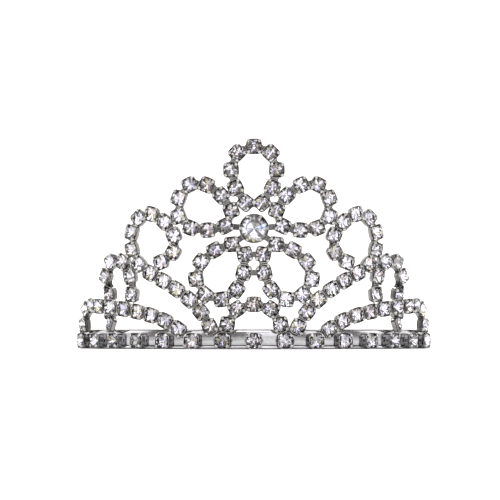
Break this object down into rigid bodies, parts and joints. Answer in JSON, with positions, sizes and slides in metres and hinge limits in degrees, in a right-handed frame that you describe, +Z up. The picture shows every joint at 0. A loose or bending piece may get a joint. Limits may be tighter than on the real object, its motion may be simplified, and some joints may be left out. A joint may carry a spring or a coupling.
{
  "type": "tiara comb",
  "caption": "Small tiara comb: an arc of polished band carrying loops of square-set crystal chain, a looped flower with a round centre stone, and a hair comb behind.",
  "frame": {"origin": "on the underside of the band, at the middle of its thickness, at the front on the centre line", "axes": "+X towards the wearer's left, which is the right of the tiara seen from the front; +Y back over the wearer's head, the way the comb's teeth point; +Z up, away from the head"},
  "size_m": [0.103, 0.0403, 0.0586],
  "materials": {
    "band_metal": "polished",
    "setting_metal": "bright plating, slightly brushed on the cup walls",
    "comb_metal": "bright plating",
    "crystal": "clear faceted glass with a silvered back"
  },
  "bodies": {
    "root": {"band": "band_metal", "comb": "comb_metal", "jewel_setting": "setting_metal", "jewel_stone": "crystal", "petal_top_chain": "setting_metal", "middle_arch_chain": "setting_metal", "petal_upper_chain_right": "setting_metal", "petal_upper_chain_left": "setting_metal", "petal_lower_chain_right": "setting_metal", "petal_lower_chain_left": "setting_metal", "scroll_chain_right": "setting_metal", "scroll_chain_left": "setting_metal", "side_arch_chain_right": "setting_metal", "side_arch_chain_left": "setting_metal", "low_scroll_chain_right": "setting_metal", "low_scroll_chain_left": "setting_metal", "petal_top_stones": "crystal", "middle_arch_stones": "crystal", "petal_upper_stones_right": "crystal", "petal_upper_stones_left": "crystal", "petal_lower_stones_right": "crystal", "petal_lower_stones_left": "crystal", "scroll_stones_right": "crystal", "scroll_stones_left": "crystal", "side_arch_stones_right": "crystal", "side_arch_stones_left": "crystal", "low_scroll_stones_right": "crystal", "low_scroll_stones_left": "crystal", "base_row_stones": "crystal"}
  },
  "joints": []
}
